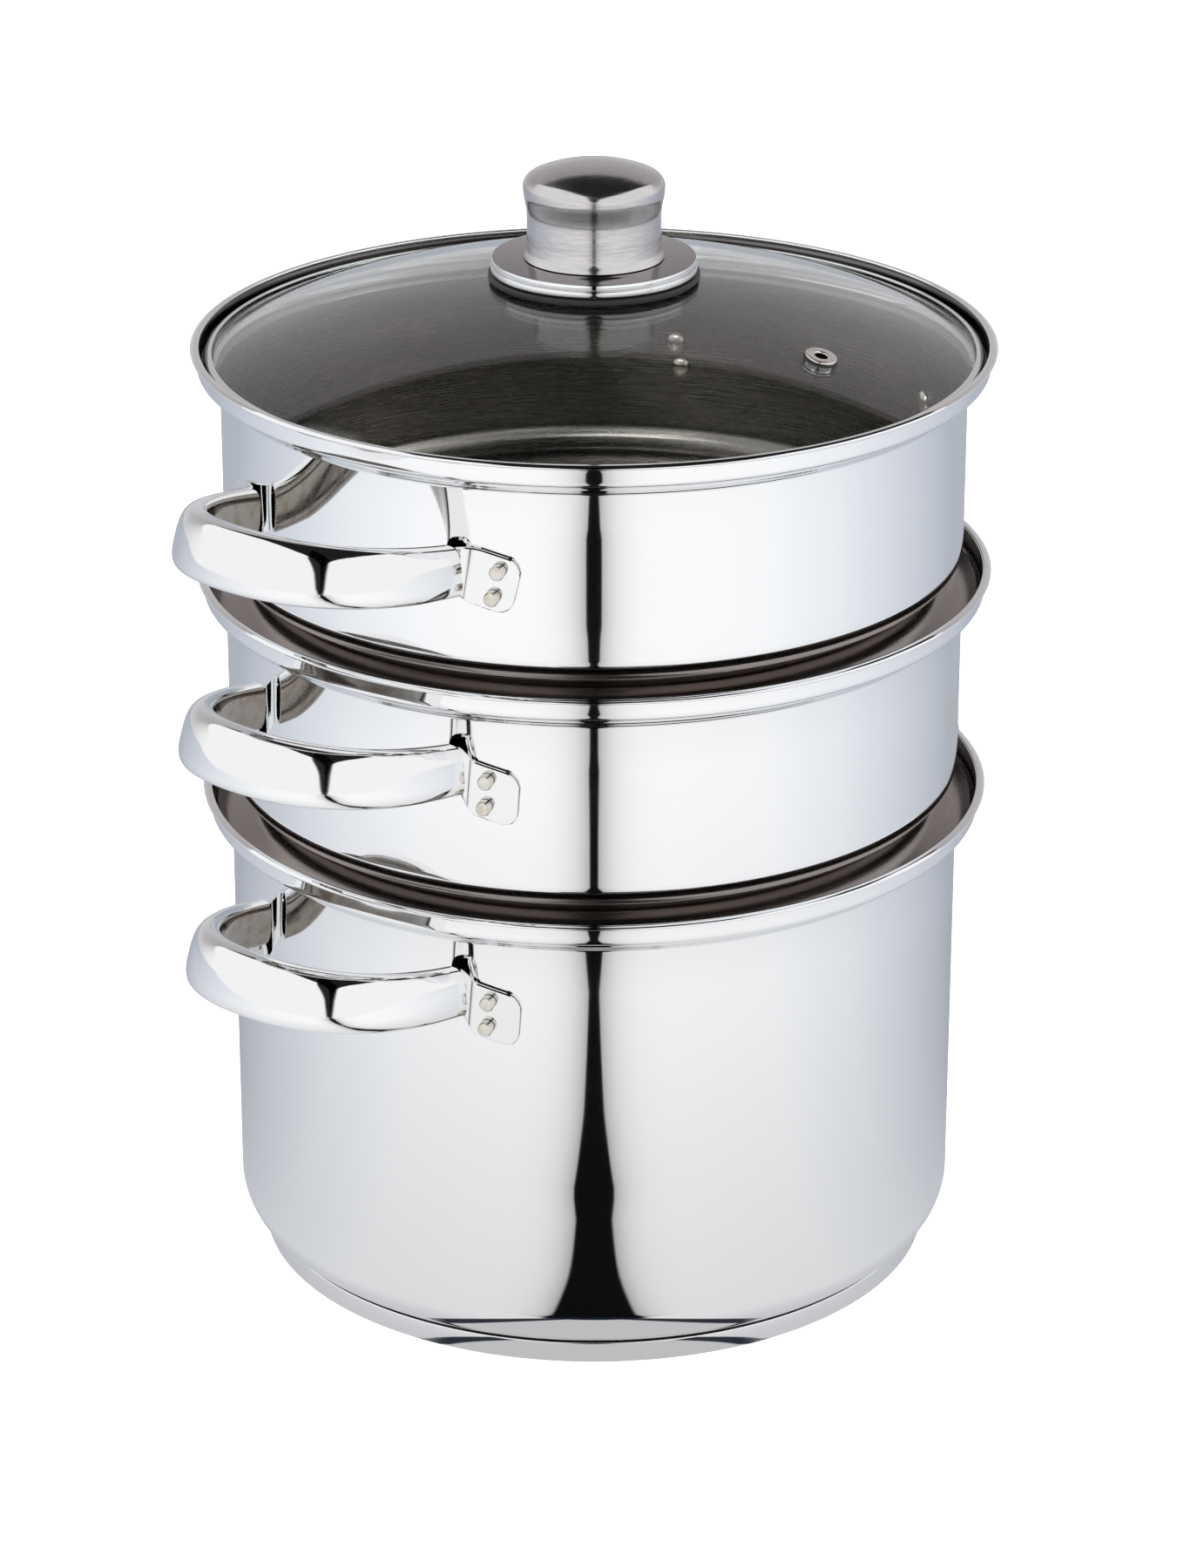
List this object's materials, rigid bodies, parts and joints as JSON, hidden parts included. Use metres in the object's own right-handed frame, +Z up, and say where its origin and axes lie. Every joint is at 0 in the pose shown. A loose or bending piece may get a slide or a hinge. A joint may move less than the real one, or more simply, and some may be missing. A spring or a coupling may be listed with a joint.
{
  "type": "stacking steamer pot",
  "caption": "Stainless steel steamer: a deep pot, perforated baskets that stack on it, loop handles on each tier and a domed glass lid with a steel knob.",
  "frame": {"origin": "centre of the underside of the pot's base", "axes": "+Z up along the axis that all tiers share, handles along X, lid vent towards -Y"},
  "size_m": [0.32, 0.239, 0.3409],
  "materials": {
    "polished_steel": "mirror polished stainless steel",
    "satin_steel": "satin stainless steel",
    "handle_steel": "mirror polished stainless steel",
    "rivet_steel": "satin stainless steel",
    "aluminium": "plain",
    "lid_glass": "clear tempered glass",
    "black_seal": "matt black",
    "black_plug": "matt black"
  },
  "bodies": {
    "pot": {"pot_shell": "polished_steel", "base_cap": "polished_steel", "base_core": "aluminium", "pot_left_handle": "handle_steel", "pot_left_front_bracket": "polished_steel", "pot_left_front_upper_rivet": "rivet_steel", "pot_left_front_lower_rivet": "rivet_steel", "pot_left_rear_bracket": "polished_steel", "pot_left_rear_upper_rivet": "rivet_steel", "pot_left_rear_lower_rivet": "rivet_steel", "pot_right_handle": "handle_steel", "pot_right_front_bracket": "polished_steel", "pot_right_front_upper_rivet": "rivet_steel", "pot_right_front_lower_rivet": "rivet_steel", "pot_right_rear_bracket": "polished_steel", "pot_right_rear_upper_rivet": "rivet_steel", "pot_right_rear_lower_rivet": "rivet_steel"},
    "middle_basket": {"middle_basket_shell": "polished_steel", "middle_seat_ring": "satin_steel", "middle_left_handle": "handle_steel", "middle_left_front_bracket": "polished_steel", "middle_left_front_upper_rivet": "rivet_steel", "middle_left_front_lower_rivet": "rivet_steel", "middle_left_rear_bracket": "polished_steel", "middle_left_rear_upper_rivet": "rivet_steel", "middle_left_rear_lower_rivet": "rivet_steel", "middle_right_handle": "handle_steel", "middle_right_front_bracket": "polished_steel", "middle_right_front_upper_rivet": "rivet_steel", "middle_right_front_lower_rivet": "rivet_steel", "middle_right_rear_bracket": "polished_steel", "middle_right_rear_upper_rivet": "rivet_steel", "middle_right_rear_lower_rivet": "rivet_steel"},
    "top_basket": {"top_basket_shell": "polished_steel", "top_seat_ring": "satin_steel", "top_left_handle": "handle_steel", "top_left_front_bracket": "polished_steel", "top_left_front_upper_rivet": "rivet_steel", "top_left_front_lower_rivet": "rivet_steel", "top_left_rear_bracket": "polished_steel", "top_left_rear_upper_rivet": "rivet_steel", "top_left_rear_lower_rivet": "rivet_steel", "top_right_handle": "handle_steel", "top_right_front_bracket": "polished_steel", "top_right_front_upper_rivet": "rivet_steel", "top_right_front_lower_rivet": "rivet_steel", "top_right_rear_bracket": "polished_steel", "top_right_rear_upper_rivet": "rivet_steel", "top_right_rear_lower_rivet": "rivet_steel"},
    "lid": {"lid_glass": "lid_glass", "lid_ring": "polished_steel", "knob_seat": "black_seal", "knob_flange": "polished_steel", "lid_knob": "polished_steel", "knob_core": "black_plug", "lid_washer": "rivet_steel", "lid_screw": "rivet_steel", "vent_grommet": "black_seal", "vent_eyelet": "rivet_steel"}
  },
  "joints": [
    {"name": "middle_basket_lift", "type": "slide", "parent": "pot", "child": "middle_basket", "axis": [0, 0, 1], "range_m": [0, 0.08]},
    {"name": "top_basket_lift", "type": "slide", "parent": "middle_basket", "child": "top_basket", "axis": [0, 0, 1], "range_m": [0, 0.08]},
    {"name": "lid_lift", "type": "slide", "parent": "top_basket", "child": "lid", "axis": [0, 0, 1], "range_m": [0, 0.08]}
  ]
}
